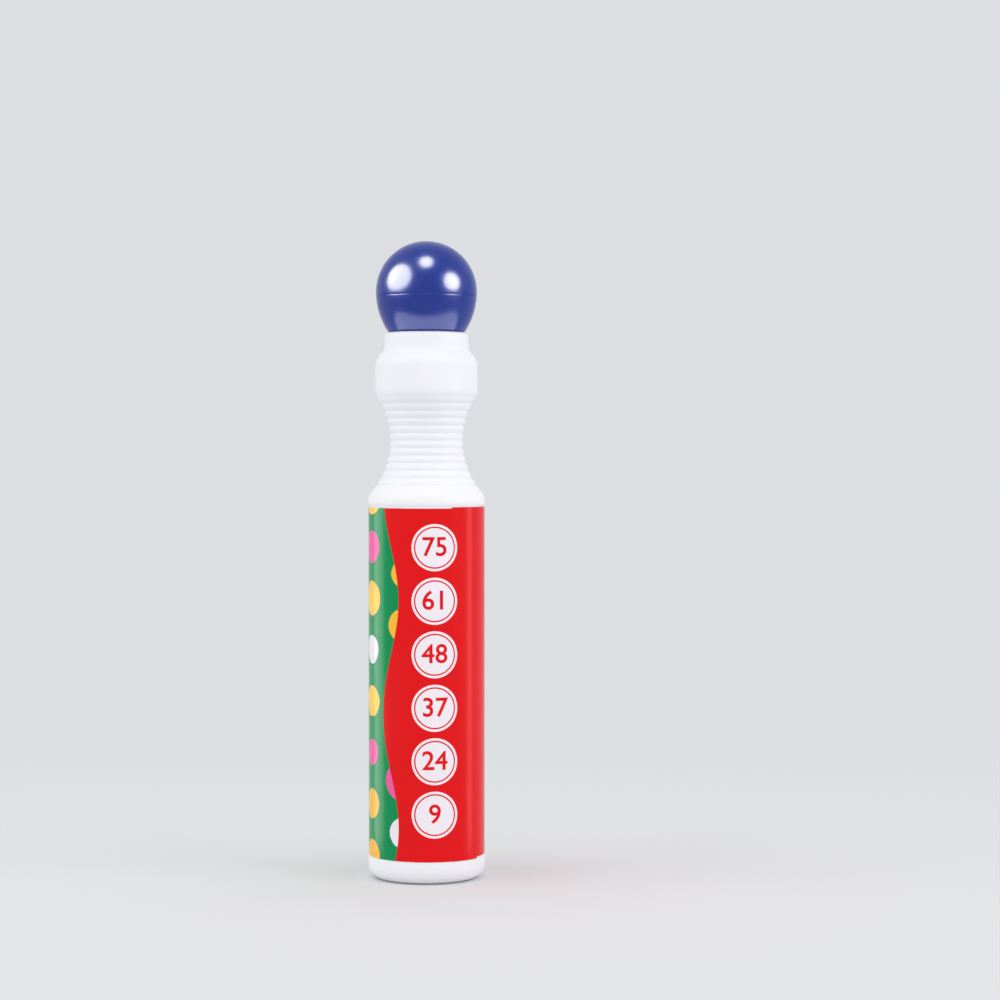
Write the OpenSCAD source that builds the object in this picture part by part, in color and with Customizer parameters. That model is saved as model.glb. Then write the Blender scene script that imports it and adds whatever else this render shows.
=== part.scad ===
// Bingo dauber: a white ink bottle with a ribbed waist and a wrap label, a
// press nib with a sprung valve in its mouth, and a ball cap made of two shells.
// The origin is the centre of the base, +Z is up, and the front faces -Y.

/* [Bottle] */
// Diameter of the base band and the shoulder band
body_d = 24; // [23:0.1:26]
// Wall of the bottle
bottle_wall = 1; // [0.8:0.05:1.3]
// Height of the base band under the label panel
base_band_h = 4.6; // [4:0.1:9]
// Radius of the rounded heel
heel_r = 2.7; // [1.5:0.1:3]
// Rise of the hollow under the base
push_up_h = 1.2; // [0.6:0.1:1.8]
// Thickness of the floor over that hollow
floor_t = 1.2; // [0.9:0.1:1.8]
// Width of the flat ring that the bottle stands on
stand_ring_w = 1.6; // [1:0.1:2.5]
// Radius of the corner inside the floor
floor_corner_r = 1.5; // [0.8:0.1:2.5]
// Height of the label panel
panel_h = 72.2; // [55:0.1:90]
// Height of the plain band over the label panel
shoulder_band_h = 0.6; // [0.4:0.1:5]

/* [Waist and bulb] */
// Diameter at the narrowest place, over the ribs
waist_d = 15; // [13.5:0.1:16.5]
// Radius of the arc that draws the waist in
waist_arc_r = 16.5; // [15:0.1:19]
// Radius that rounds the shoulder into the waist
shoulder_round_r = 3; // [1:0.1:4]
// Radius that rounds the bulb into the waist
bulb_round_r = 4; // [1:0.1:5]
// Distance from rib to rib
rib_pitch = 1.52; // [1.3:0.02:1.9]
// Depth of the grooves between the ribs
rib_depth = 0.28; // [0.1:0.02:0.4]
// Least plain stretch beyond the ribs at each end
rib_margin = 0.85; // [0.8:0.05:2]
// Ribs over which the grooves grow to their full depth at each end
rib_fade = 1.5; // [0.5:0.5:4]
// Diameter of the bulb above the waist
bulb_d = 21; // [20:0.1:22.5]
// Height of the straight part of the bulb
bulb_h = 4.5; // [3:0.1:9]
// Radius of the bulb's upper round
bulb_top_r = 3.6; // [2.5:0.1:4.5]

/* [Collar and mouth] */
// Wall of the collar round the mouth
collar_wall = 2; // [1.8:0.05:2.4]
// Height of the collar's straight side
collar_h = 2.8; // [2.2:0.1:4]
// Radius of the hollow between bulb and collar
collar_hollow_r = 2; // [1:0.1:3]
// Radius of the collar's top edge
collar_edge_r = 0.9; // [0.4:0.05:1]
// Length of the mouth's bore under the flange
mouth_bore_len = 3.2; // [2.4:0.1:3.6]

/* [Label] */
// Thickness of the label
label_t = 0.08; // [0.06:0.01:0.14]
// Room between the label's edges and the panel's ends
label_margin = 0.4; // [0.2:0.05:1]
// Angle from the front to the start of the overlap
flap_start = 27; // [0:1:180]
// Angle that the overlap covers
flap_angle = 33; // [15:1:60]
// Drop of the overlapping end, as it was stuck on a little askew
flap_drop = 0.3; // [0:0.05:0.35]

/* [Nib] */
// Diameter of the nib
nib_d = 10.2; // [9.4:0.1:10.6]
// Height of the nib's dome
nib_dome_h = 2.2; // [1.6:0.1:2.6]
// Straight height of the nib above the neck
nib_reach = 0.6; // [0.4:0.1:1]
// Width of the step that keeps the nib in
nib_step_w = 0.4; // [0.3:0.05:0.6]
// Height of that step
nib_step_h = 1.6; // [1.2:0.1:2]
// Thickness of the carrier under the nib
carrier_t = 1.5; // [1.2:0.1:1.8]
// Length of the carrier's socket below its disc
socket_len = 1; // [0.6:0.1:1.4]
// Wall of that socket
hub_wall = 0.9; // [0.7:0.05:1.1]
// Diameter of the carrier's ink holes
ink_hole_d = 1.6; // [1:0.1:1.9]
// Ink holes in the carrier
ink_holes = 6; // [4:1:7]
// Travel of the nib when it is pressed
nib_travel = 1; // [0.5:0.1:1.3]

/* [Nib housing] */
// Height of the neck above the mouth
neck_h = 8.2; // [7.9:0.1:8.8]
// Wall of the neck round the nib's chamber
neck_wall = 0.75; // [0.65:0.05:0.9]
// Length of the lip that guides the nib
lip_len = 2.6; // [2:0.1:3]
// Radius of the neck's top edges
neck_edge_r = 0.35; // [0.2:0.05:0.4]
// Height of the snap rings round the neck
ring_h = 0.1; // [0.06:0.02:0.14]
// Width of a snap ring
ring_w = 0.8; // [0.5:0.1:1.2]
// Distance from ring to ring
ring_pitch = 2; // [1.6:0.1:2.2]
// Snap rings round the neck
rings = 3; // [1:1:3]
// Thickness of the flange that sits in the mouth
flange_t = 0.8; // [0.6:0.1:1.1]
// Width of the flange beyond the bore
flange_w = 0.65; // [0.5:0.05:0.75]
// Difference in radius between the plug and the neck
plug_step = 0.07; // [0.02:0.01:0.15]
// Wall of the plug
plug_wall = 1; // [0.9:0.05:1.1]
// Length of the plug below the bore
plug_tail = 2.4; // [2:0.1:3]
// Height of the bead that snaps behind the bore
bead_h = 0.28; // [0.15:0.01:0.4]
// Width of that bead
bead_w = 1; // [0.7:0.1:1.4]

/* [Valve] */
// Thickness of the web that carries the seat
web_t = 1.2; // [1:0.1:1.4]
// Diameter of the port through the web
port_d = 4.8; // [4.2:0.1:5]
// Height of the seat's raised lip
seat_h = 0.4; // [0.3:0.05:0.6]
// Width of the seat's raised lip
seat_w = 0.5; // [0.4:0.05:0.6]
// Thickness of the rubber washer
washer_t = 0.8; // [0.6:0.1:1]
// Diameter of the valve disc
disc_d = 6.8; // [6.6:0.1:7.2]
// Thickness of the valve disc
disc_t = 0.9; // [0.7:0.1:1.2]
// Diameter of the valve stem
stem_d = 2.5; // [2:0.1:2.8]
// Thickness of the stem's guide fins
fin_t = 0.7; // [0.5:0.1:0.9]
// Guide fins round the stem
fins = 4; // [3:1:5]
// Length of the boss that centres the spring
boss_len = 1.8; // [1:0.1:2.4]
// Diameter of the spring wire
wire_d = 0.45; // [0.35:0.05:0.5]
// Diameter of the spring at the wire's middle
coil_d = 4.6; // [4.2:0.1:5]
// Length of the spring with the valve shut
spring_len = 6.6; // [6.2:0.1:7.4]
// Turns of the spring
coils = 5; // [4:0.5:5.5]
// Wall of the cage
cage_wall = 1; // [0.8:0.05:1.1]
// Thickness of the cage floor
cage_floor_t = 1; // [0.8:0.1:1.4]
// Width of the windows in the cage
window_w = 4; // [3:0.1:4.6]
// Windows round the cage
windows = 4; // [3:1:5]

/* [Cap] */
// Diameter of the ball
cap_d = 20.8; // [20.6:0.1:22]
// Wall of the ball
cap_wall = 1.3; // [1.1:0.05:1.4]
// Height of the ball's equator above the mouth
equator_h = 8.3; // [8:0.1:8.8]
// Drop of the seam between the two shells below the equator
seam_drop = 0.9; // [0:0.1:1.2]
// Wall of the rim round the neck
rim_wall = 1.15; // [1:0.05:1.4]
// Thickness of the rim's floor under the sleeve
rim_floor_t = 0.9; // [0.7:0.05:1.1]
// Wall of the sleeve that grips the neck
sleeve_wall = 0.9; // [0.7:0.05:1]
// Height of the bead that holds the sleeve in the rim
sleeve_bead_h = 0.15; // [0.08:0.01:0.2]
// Width of that bead
sleeve_bead_w = 0.5; // [0.4:0.05:0.6]
// Height of the tongue that joins the two shells
tongue_h = 1.2; // [0.8:0.1:1.6]
// Height of the seal in the sleeve's bore
cap_seal_t = 0.8; // [0.5:0.1:1]
// Thickness of the seal's flange on the sleeve's end
seal_flange_t = 0.8; // [0.5:0.1:1]

/* [Ink] */
// Depth of the ink in the upright bottle
ink_depth = 66; // [10:1:70]

/* [Clearances] */
// Between pieces that are pressed or snapped together
snug = 0.03; // [0.02:0.01:0.05]
// Between the nib and its lip
nib_clear = 0.1; // [0.08:0.01:0.15]
// Between the nib's step and its chamber
chamber_clear = 0.25; // [0.2:0.05:0.3]
// Between the cap and the snap rings
cap_clear = 0.12; // [0.1:0.01:0.2]
// Between the cap's rim and the collar, and between the cap's shells
seam_clear = 0.1; // [0.06:0.02:0.16]
// Between the nib and the cap's seal
sleeve_clear = 0.6; // [0.4:0.05:0.7]
// Between the pressed carrier and the floor of its chamber
press_clear = 0.3; // [0.2:0.05:0.5]
// Between the shut washer and its seat
seat_clear = 0.02; // [0.02:0.01:0.05]
// Between the guide fins and the port
fin_clear = 0.12; // [0.08:0.01:0.2]
// Between the ink and the bottle
ink_clear = 0.05; // [0.03:0.01:0.1]

/* [Hidden] */
$fn = 96;
overlap = 0.5;
white = [0.95, 0.95, 0.97];
blue = [0.18, 0.27, 0.6];

// Radii, from the nib outwards
nib_r = nib_d / 2;
lip_r = nib_r + nib_clear;
nib_step_r = nib_r + nib_step_w;
chamber_r = nib_step_r + chamber_clear;
neck_r = chamber_r + neck_wall;
plug_r = neck_r + plug_step;
plug_in_r = plug_r - plug_wall;
bore_r = plug_r + snug;
seat_pocket_r = bore_r + flange_w;
collar_r = bore_r + collar_wall;
cage_r = plug_in_r - snug;
cage_in_r = cage_r - cage_wall;
cap_bore_r = neck_r + ring_h + cap_clear;
sleeve_r = cap_bore_r + sleeve_wall;
seal_in_r = nib_r + sleeve_clear;
rim_r = cap_bore_r + rim_wall;
cap_r = cap_d / 2;
body_r = body_d / 2;
bulb_r = bulb_d / 2;
label_in_r = body_r - 2 * label_t;
panel_r = label_in_r - snug;
panel_in_r = panel_r - bottle_wall;
stand_r = body_r - heel_r;
stem_r = stem_d / 2;
port_r = port_d / 2;
fin_r = port_r - fin_clear;
disc_r = disc_d / 2;
coil_r = coil_d / 2;
boss_r = coil_r - wire_d;

// Heights of the bottle, from the base upwards
panel_z = base_band_h;
panel_top_z = panel_z + panel_h;
shoulder_z = panel_top_z + shoulder_band_h;
waist_axis_r = waist_d / 2 + waist_arc_r;
waist_z = shoulder_z + tangent_rise(body_r, shoulder_round_r);
bulb_z = waist_z + tangent_rise(bulb_r, bulb_round_r);
bulb_top_z = bulb_z + bulb_h;
neck_sweep_r = bulb_top_r + collar_hollow_r;
neck_inset = bulb_r - collar_r;
collar_z = bulb_top_z + sqrt(2 * neck_sweep_r * neck_inset - pow(neck_inset, 2));
mouth_z = collar_z + collar_h;
floor_z = push_up_h + floor_t;
ribs_below = floor((waist_z - shoulder_z - rib_margin) / rib_pitch);
ribs_above = floor((bulb_z - waist_z - rib_margin) / rib_pitch);
shoulder_joint_z = joint_z(shoulder_z, shoulder_round_r);
bulb_joint_z = joint_z(bulb_z, bulb_round_r);

// Heights of the nib and valve, from the mouth
flange_z = mouth_z - flange_t;
bore_z = flange_z - mouth_bore_len;
plug_z = bore_z - plug_tail;
bead_z = bore_z - snug - bead_w;
neck_top_z = mouth_z + neck_h;
lip_z = neck_top_z - lip_len;
nib_z = lip_z - snug - nib_step_h;
carrier_z = nib_z - carrier_t;
socket_z = carrier_z - socket_len;
stem_top_z = carrier_z + carrier_t / 2;
chamber_z = socket_z - nib_travel - press_clear;
web_z = chamber_z - web_t;
seat_z = web_z - seat_h;
washer_z = seat_z - seat_clear - washer_t;
disc_z = washer_z - disc_t;
cage_floor_z = disc_z - spring_len;
cage_z = cage_floor_z - cage_floor_t;
nib_top_z = neck_top_z + nib_reach + nib_dome_h;
nib_dome_r = (pow(nib_r, 2) + pow(nib_dome_h, 2)) / (2 * nib_dome_h);

// Heights of the cap, from the mouth
rim_z = mouth_z + seam_clear;
equator_z = mouth_z + equator_h;
seam_z = equator_z - seam_drop;
tongue_top_z = seam_z + tongue_h;
cap_seal_z = neck_top_z + seat_clear;
sleeve_top_z = cap_seal_z + cap_seal_t;
seal_flange_z = sleeve_top_z + seat_clear;
seal_top_z = seal_flange_z + seal_flange_t;
sleeve_z = rim_z + rim_floor_t + snug;
sleeve_bead_z = sleeve_z + sleeve_bead_w;
rim_inset = cap_r - rim_r;
skirt_arc_r = (pow(equator_z - rim_z, 2) + pow(rim_inset, 2)) / (2 * rim_inset);
skirt_axis_r = cap_r - skirt_arc_r;
tongue_r = cap_r - cap_wall / 2;

// Least gap of the spring to itself, measured between points half a turn or more apart
spring_path = [for (i = [0:8 * coils]) helix_point(i / (8 * coils))];
spring_gap = min([for (i = [0:len(spring_path) - 1]) for (j = [i + 4:1:len(spring_path) - 1])
    norm(spring_path[i] - spring_path[j])]) - wire_d;
echo(spring_gap = spring_gap);

// Rise from a cylinder's end to the middle of the waist's arc, rounded off with radius round_r
function tangent_rise(cylinder_r, round_r) =
    sqrt(pow(waist_arc_r + round_r, 2) - pow(waist_axis_r - cylinder_r + round_r, 2));

// Height at which a round of radius round_r, centred at end_z, runs into the waist's arc
function joint_z(end_z, round_r) = end_z + (waist_z - end_z) * round_r / (waist_arc_r + round_r);

// Points on an arc from angle a to angle b
function arc(r, z, radius, a, b, steps = 8) =
    [for (i = [0:steps]) let (t = a + (b - a) * i / steps) [r + radius * cos(t), z + radius * sin(t)]];

// Radius of the smooth outline between the shoulder and the bulb
function waist_curve(z) =
    z < shoulder_joint_z ? body_r - shoulder_round_r + sqrt(pow(shoulder_round_r, 2) - pow(z - shoulder_z, 2)) :
    z > bulb_joint_z ? bulb_r - bulb_round_r + sqrt(pow(bulb_round_r, 2) - pow(bulb_z - z, 2)) :
    waist_axis_r - sqrt(pow(waist_arc_r, 2) - pow(z - waist_z, 2));

// The same outline with a round rib on every pitch and a sharp groove between ribs, shallower at both ends
function ribbed(pitches) =
    let (from_end = min(ribs_below + 0.5 + pitches, ribs_above + 0.5 - pitches),
         depth = rib_depth * min(1, from_end / rib_fade),
         z = waist_z + pitches * rib_pitch)
    [waist_curve(z) - depth * (1 - abs(sin(180 * pitches))), z];

// A point on the spring's wire, with t from 0 at the cage to 1 at the disc
function helix_point(t) =
    [coil_r * cos(360 * coils * t), coil_r * sin(360 * coils * t),
     cage_floor_z + wire_d / 2 + snug + t * (spring_len - wire_d - 2 * snug)];

// Outline of the bottle's hollow from the floor to the bulb, drawn in by inset
function hollow_outline(inset) = concat(
    [[0, floor_z + inset]],
    arc(panel_in_r - floor_corner_r, floor_z + floor_corner_r, floor_corner_r - inset, -90, 0),
    [for (i = [0:16]) let (z = shoulder_z + (bulb_z - shoulder_z) * i / 16)
        [min(panel_in_r, waist_curve(z) - rib_depth - bottle_wall) - inset, z]]);

// Turns an outline, given as [radius, height] points, about the axis
module turned(outline) {
    rotate_extrude() polygon(outline);
}

// A ring with a square section
module ring(outer_r, inner_r, z, height) {
    difference() {
        translate([0, 0, z]) cylinder(r = outer_r, h = height);
        translate([0, 0, z - overlap]) cylinder(r = inner_r, h = height + 2 * overlap);
    }
}

module bottle() {
    samples = 6;
    base = [for (i = [0:6]) [(stand_r - stand_ring_w) * i / 6, push_up_h * (1 - pow(i / 6, 2))]];
    sweep_angle = acos((neck_sweep_r - neck_inset) / neck_sweep_r);
    outside = concat(
        base,
        arc(stand_r, heel_r, heel_r, -90, 0),
        [[body_r, panel_z], [panel_r, panel_z], [panel_r, panel_top_z], [body_r, panel_top_z]],
        [for (i = [0:2]) let (z = shoulder_z + (waist_z - shoulder_z - (ribs_below + 0.5) * rib_pitch) * i / 3)
            [waist_curve(z), z]],
        [for (i = [-(ribs_below + 0.5) * samples:(ribs_above + 0.5) * samples]) ribbed(i / samples)],
        [for (i = [1:3]) let (z = bulb_z - (bulb_z - waist_z - (ribs_above + 0.5) * rib_pitch) * (1 - i / 3))
            [waist_curve(z), z]],
        arc(bulb_r - bulb_top_r, bulb_top_z, bulb_top_r, 0, sweep_angle),
        arc(collar_r + collar_hollow_r, collar_z, collar_hollow_r, 180 + sweep_angle, 180),
        arc(collar_r - collar_edge_r, mouth_z - collar_edge_r, collar_edge_r, 0, 90, 5),
        [[seat_pocket_r, mouth_z], [seat_pocket_r, flange_z], [bore_r, flange_z], [bore_r, bore_z]],
        [[bore_r + bead_h + snug, bore_z], [bulb_r - bottle_wall, bulb_top_z]]);
    hollow = hollow_outline(0);
    color(white) turned(concat(outside, [for (i = [len(hollow) - 1:-1:0]) hollow[i]]));
}

module label() {
    low_z = panel_z + label_margin;
    label_h = panel_h - 2 * label_margin;
    outer_r = label_in_r + label_t;
    color([0.87, 0.1, 0.12]) {
        ring(outer_r, label_in_r, low_z, label_h);
        rotate([0, 0, flap_start - 90]) rotate_extrude(angle = flap_angle)
            translate([outer_r - label_t / 2, low_z - flap_drop]) square([label_t * 1.5, label_h]);
    }
}

module ink() {
    color([0.1, 0.15, 0.5]) intersection() {
        turned(concat(hollow_outline(ink_clear), [[0, bulb_z]]));
        cylinder(r = body_r, h = floor_z + ink_depth);
    }
}

module nib_housing() {
    outside = concat(
        [[plug_in_r, plug_z], [plug_r, plug_z], [plug_r, bead_z], [plug_r + bead_h, bead_z + bead_w / 2]],
        [[plug_r + bead_h, bead_z + bead_w], [plug_r, bead_z + bead_w], [plug_r, flange_z]],
        [[seat_pocket_r - snug, flange_z], [seat_pocket_r - snug, mouth_z], [neck_r, mouth_z]],
        arc(neck_r - neck_edge_r, neck_top_z - neck_edge_r, neck_edge_r, 0, 90, 5),
        arc(lip_r + neck_edge_r, neck_top_z - neck_edge_r, neck_edge_r, 90, 180, 5));
    chamber = [[lip_r, lip_z], [chamber_r, lip_z], [chamber_r, chamber_z], [port_r, chamber_z]];
    seat = [[port_r, seat_z], [port_r + seat_w, seat_z], [port_r + seat_w, web_z], [plug_in_r, web_z]];
    groove_z = bore_z - bead_w;
    color(white) difference() {
        union() {
            turned(concat(outside, chamber, seat));
            for (i = [1:rings]) snap_ring(neck_r, ring_h, mouth_z + i * ring_pitch, ring_w);
        }
        snap_ring(plug_in_r, bead_h, groove_z, bead_w + 2 * snug);
    }
}

// A low ring with sloping sides round a cylinder of radius r, centred at height z
module snap_ring(r, rise, z, width) {
    turned([[r - overlap, z - width / 2], [r, z - width / 2], [r + rise, z - width / 6],
            [r + rise, z + width / 6], [r, z + width / 2], [r - overlap, z + width / 2]]);
}

module valve_cage() {
    window_h = plug_z - cage_floor_z - snug;
    color([0.9, 0.9, 0.88]) difference() {
        union() {
            ring(cage_r, cage_in_r, cage_z, web_z - snug - cage_z);
            ring(cage_in_r + overlap, boss_r / 2, cage_z, cage_floor_t);
            ring(boss_r - snug, boss_r / 2, cage_z, cage_floor_t + wire_d * 2);
            snap_ring(cage_r, bead_h - snug, bore_z - bead_w, bead_w);
        }
        for (i = [1:windows]) rotate([0, 0, 360 * i / windows])
            translate([boss_r + overlap, -window_w / 2, cage_floor_z]) cube([cage_r, window_w, window_h]);
    }
}

module valve_spring() {
    sides = 6;
    count = len(spring_path);
    wire = [for (i = [0:count - 1]) for (k = [0:sides - 1])
        let (turn = 360 * coils * i / (count - 1), side = 360 * k / sides, out = wire_d / 2 * cos(side))
        spring_path[i] + [out * cos(turn), out * sin(turn), wire_d / 2 * sin(side)]];
    skin = [for (i = [0:count - 2]) for (k = [0:sides - 1])
        let (a = i * sides + k, b = i * sides + (k + 1) % sides)
        each [[a, b, a + sides], [b, b + sides, a + sides]]];
    last = (count - 1) * sides;
    ends = [for (k = [1:sides - 2]) each [[0, k + 1, k], [last, last + k, last + k + 1]]];
    color([0.75, 0.76, 0.78]) polyhedron(points = wire, faces = concat(skin, ends));
}

module felt_nib() {
    dome_angle = asin(nib_r / nib_dome_r);
    color(blue) turned(concat(
        [[0, nib_z], [nib_step_r, nib_z], [nib_step_r, nib_z + nib_step_h], [nib_r, nib_z + nib_step_h]],
        arc(0, nib_top_z - nib_dome_r, nib_dome_r, 90 - dome_angle, 90, 12)));
}

module nib_carrier() {
    socket_r = stem_r + snug;
    hub_r = socket_r + hub_wall;
    color([0.9, 0.9, 0.88]) difference() {
        union() {
            translate([0, 0, carrier_z]) cylinder(r = nib_step_r, h = carrier_t);
            translate([0, 0, socket_z]) cylinder(r = hub_r, h = socket_len + overlap);
        }
        translate([0, 0, socket_z - overlap]) cylinder(r = socket_r, h = stem_top_z + snug - socket_z + overlap);
        for (i = [1:ink_holes]) rotate([0, 0, 360 * i / ink_holes])
            translate([(hub_r + nib_step_r) / 2, 0, carrier_z - overlap])
                cylinder(d = ink_hole_d, h = carrier_t + 2 * overlap);
    }
}

module valve_poppet() {
    fin_z = seat_z + snug;
    color([0.9, 0.9, 0.88]) {
        turned([[0, disc_z - boss_len], [boss_r - snug, disc_z - boss_len], [boss_r - snug, disc_z],
                [disc_r, disc_z], [disc_r, washer_z], [stem_r, washer_z], [stem_r, stem_top_z], [0, stem_top_z]]);
        for (i = [1:fins]) rotate([0, 0, 360 * i / fins])
            translate([0, -fin_t / 2, fin_z]) cube([fin_r, fin_t, socket_z - snug - fin_z]);
    }
}

module valve_seal() {
    color([0.15, 0.15, 0.16]) ring(disc_r, stem_r + snug, washer_z, washer_t);
}

module cap_dome() {
    color(blue) difference() {
        translate([0, 0, equator_z]) sphere(r = cap_r);
        translate([0, 0, equator_z]) sphere(r = cap_r - cap_wall);
        translate([0, 0, seam_z - cap_d]) cylinder(r = cap_d, h = cap_d + seam_clear / 2);
        translate([0, 0, seam_z]) cylinder(r = tongue_r, h = tongue_h + seam_clear);
        translate([0, 0, equator_z]) cylinder(r = sleeve_r + seam_clear, h = seal_top_z + seam_clear - equator_z);
    }
}

module cap_skirt() {
    rim_angle = atan2(equator_z - rim_z, rim_r - skirt_axis_r);
    seam_angle = asin((seam_drop + seam_clear / 2) / skirt_arc_r);
    hollow_top_z = equator_z + tongue_h + overlap;
    pocket_r = sleeve_r + snug;
    outside = arc(skirt_axis_r, equator_z, skirt_arc_r, -rim_angle, -seam_angle, 16);
    inside = arc(skirt_axis_r, equator_z, skirt_arc_r - cap_wall, -rim_angle, 0, 12);
    color(blue) difference() {
        turned(concat(
            [[0, rim_z]], outside, [[tongue_r - snug, seam_z - seam_clear / 2]],
            [[tongue_r - snug, tongue_top_z], [0, tongue_top_z]]));
        turned(concat(
            [[0, inside[0][1]]], inside,
            [[cap_r - cap_wall, hollow_top_z], [0, hollow_top_z]]));
        translate([0, 0, rim_z - overlap]) cylinder(r = cap_bore_r, h = cap_d);
        translate([0, 0, rim_z + rim_floor_t]) cylinder(r = pocket_r, h = cap_d);
        snap_ring(pocket_r, sleeve_bead_h, sleeve_bead_z, sleeve_bead_w + 2 * snug);
    }
}

module cap_sleeve() {
    color(white) difference() {
        union() {
            translate([0, 0, sleeve_z]) cylinder(r = sleeve_r, h = sleeve_top_z - sleeve_z);
            snap_ring(sleeve_r, sleeve_bead_h, sleeve_bead_z, sleeve_bead_w);
        }
        translate([0, 0, sleeve_z - overlap]) cylinder(r = cap_bore_r, h = cap_d);
    }
}

module cap_seal() {
    seal_r = cap_bore_r - snug;
    color([0.92, 0.92, 0.9]) turned([
        [seal_in_r, cap_seal_z], [seal_r, cap_seal_z], [seal_r, seal_flange_z],
        [sleeve_r, seal_flange_z], [sleeve_r, seal_top_z], [seal_in_r, seal_top_z]]);
}

bottle();
label();
ink();
nib_housing();
valve_cage();
valve_spring();
felt_nib();
nib_carrier();
valve_poppet();
valve_seal();
cap_dome();
cap_skirt();
cap_sleeve();
cap_seal();
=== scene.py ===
"""Bingo dauber: a white ribbed ink bottle with a wrap label, a blue ball cap and a sprung felt nib.

Every piece is made in metres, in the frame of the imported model, with the front of the label facing -Y.
"""

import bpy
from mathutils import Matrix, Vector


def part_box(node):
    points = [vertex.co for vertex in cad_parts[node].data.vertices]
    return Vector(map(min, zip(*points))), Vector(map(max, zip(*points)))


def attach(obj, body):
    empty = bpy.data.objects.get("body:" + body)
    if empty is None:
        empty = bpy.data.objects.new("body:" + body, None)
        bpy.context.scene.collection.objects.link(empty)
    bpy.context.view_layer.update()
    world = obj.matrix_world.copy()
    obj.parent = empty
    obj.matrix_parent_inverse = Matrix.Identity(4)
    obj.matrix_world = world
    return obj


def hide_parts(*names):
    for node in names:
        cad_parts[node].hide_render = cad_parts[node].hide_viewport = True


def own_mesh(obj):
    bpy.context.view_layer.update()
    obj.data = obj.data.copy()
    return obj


bl_info = {
    "name": "Bingo Dauber",
    "version": (1, 0, 0),
    "blender": (4, 5, 0),
    "location": "3D View > Sidebar > Dauber",
    "description": "Models and dresses a bingo dauber around its packed frame",
    "category": "Object",
}

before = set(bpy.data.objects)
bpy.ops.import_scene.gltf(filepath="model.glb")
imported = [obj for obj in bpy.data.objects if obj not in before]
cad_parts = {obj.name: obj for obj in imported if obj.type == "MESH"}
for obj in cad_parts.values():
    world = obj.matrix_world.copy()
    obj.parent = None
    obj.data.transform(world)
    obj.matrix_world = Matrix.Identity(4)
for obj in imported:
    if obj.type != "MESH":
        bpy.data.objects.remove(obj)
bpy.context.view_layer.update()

import math
import random

import bmesh
import bpy
from bpy.props import FloatProperty, FloatVectorProperty, IntProperty, PointerProperty
from bpy.types import Operator, Panel, PropertyGroup
from mathutils import Matrix, Vector, noise

MM = 0.001
FRONT = math.radians(-90)

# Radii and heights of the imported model
BODY_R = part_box("bottle")[1].x
MOUTH_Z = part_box("bottle")[1].z
LABEL_OUT_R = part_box("label")[1].x
LABEL_LOW_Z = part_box("label")[0].z
LABEL_TOP_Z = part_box("label")[1].z
CAP_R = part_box("cap_skirt")[1].x
CAP_TOP_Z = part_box("cap_dome")[1].z
RIM_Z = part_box("cap_skirt")[0].z
NIB_LOW_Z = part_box("felt_nib")[0].z
NIB_TOP_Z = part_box("felt_nib")[1].z
NIB_STEP_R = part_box("felt_nib")[1].x
SPRING_LOW, SPRING_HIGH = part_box("valve_spring")

# Steps in a turn of the moulded pieces and of the nib, in the label, in a rib and in a coil of the spring,
# and sides of the spring's wire
TURN_STEPS = 160
NIB_TURN_STEPS = 120
LABEL_STEPS = 196
RIB_STEPS = 12
COIL_STEPS = 40
WIRE_SIDES = 12

# Edges sharper than these angles are shaded as edges, or rounded
SHADED_ANGLE = math.radians(32)
ROUNDED_ANGLE = math.radians(40)

# Share of a normal along a direction past which a surface faces that way
FACING = 0.5

# Distances in metres within which points are merged, lie on a cutting plane, or lie on the parting line
MERGED = 1e-7
ON_PLANE = 1e-8
ON_LINE = 1e-6

# Figures in the label's discs, from the lowest up, the width of the strips that they are bent in, and the
# steps in their curves
FIGURES = ("9", "24", "37", "48", "61", "75")
FIGURE_STRIP = 0.4 * MM
FIGURE_CURVE_STEPS = 4


# Properties


def length(name, description, millimetres):
    """A length whose default is given in millimetres."""
    return FloatProperty(
        name=name, description=description, default=millimetres * MM, unit="LENGTH", subtype="DISTANCE"
    )


def angle(name, description, degrees):
    """An angle whose default is given in degrees."""
    return FloatProperty(
        name=name, description=description, default=math.radians(degrees), unit="ROTATION", subtype="ANGLE"
    )


def colour(name, description, code):
    """A colour whose default is given as a screen colour code."""
    channels = [int(code[i:i + 2], 16) / 255 for i in (0, 2, 4)]
    linear = [c / 12.92 if c <= 0.04045 else ((c + 0.055) / 1.055) ** 2.4 for c in channels]
    return FloatVectorProperty(
        name=name, description=description, default=(*linear, 1), size=4, min=0, max=1, subtype="COLOR"
    )


def factor(name, description, share):
    """A share from 0 to 1."""
    return FloatProperty(name=name, description=description, default=share, min=0, max=1, subtype="FACTOR")


def count(name, description, number, least=0):
    """A whole number of things."""
    return IntProperty(name=name, description=description, default=number, min=least)


def amount(name, description, number, least):
    """A number of things that needn't be whole."""
    return FloatProperty(name=name, description=description, default=number, min=least)


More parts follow.
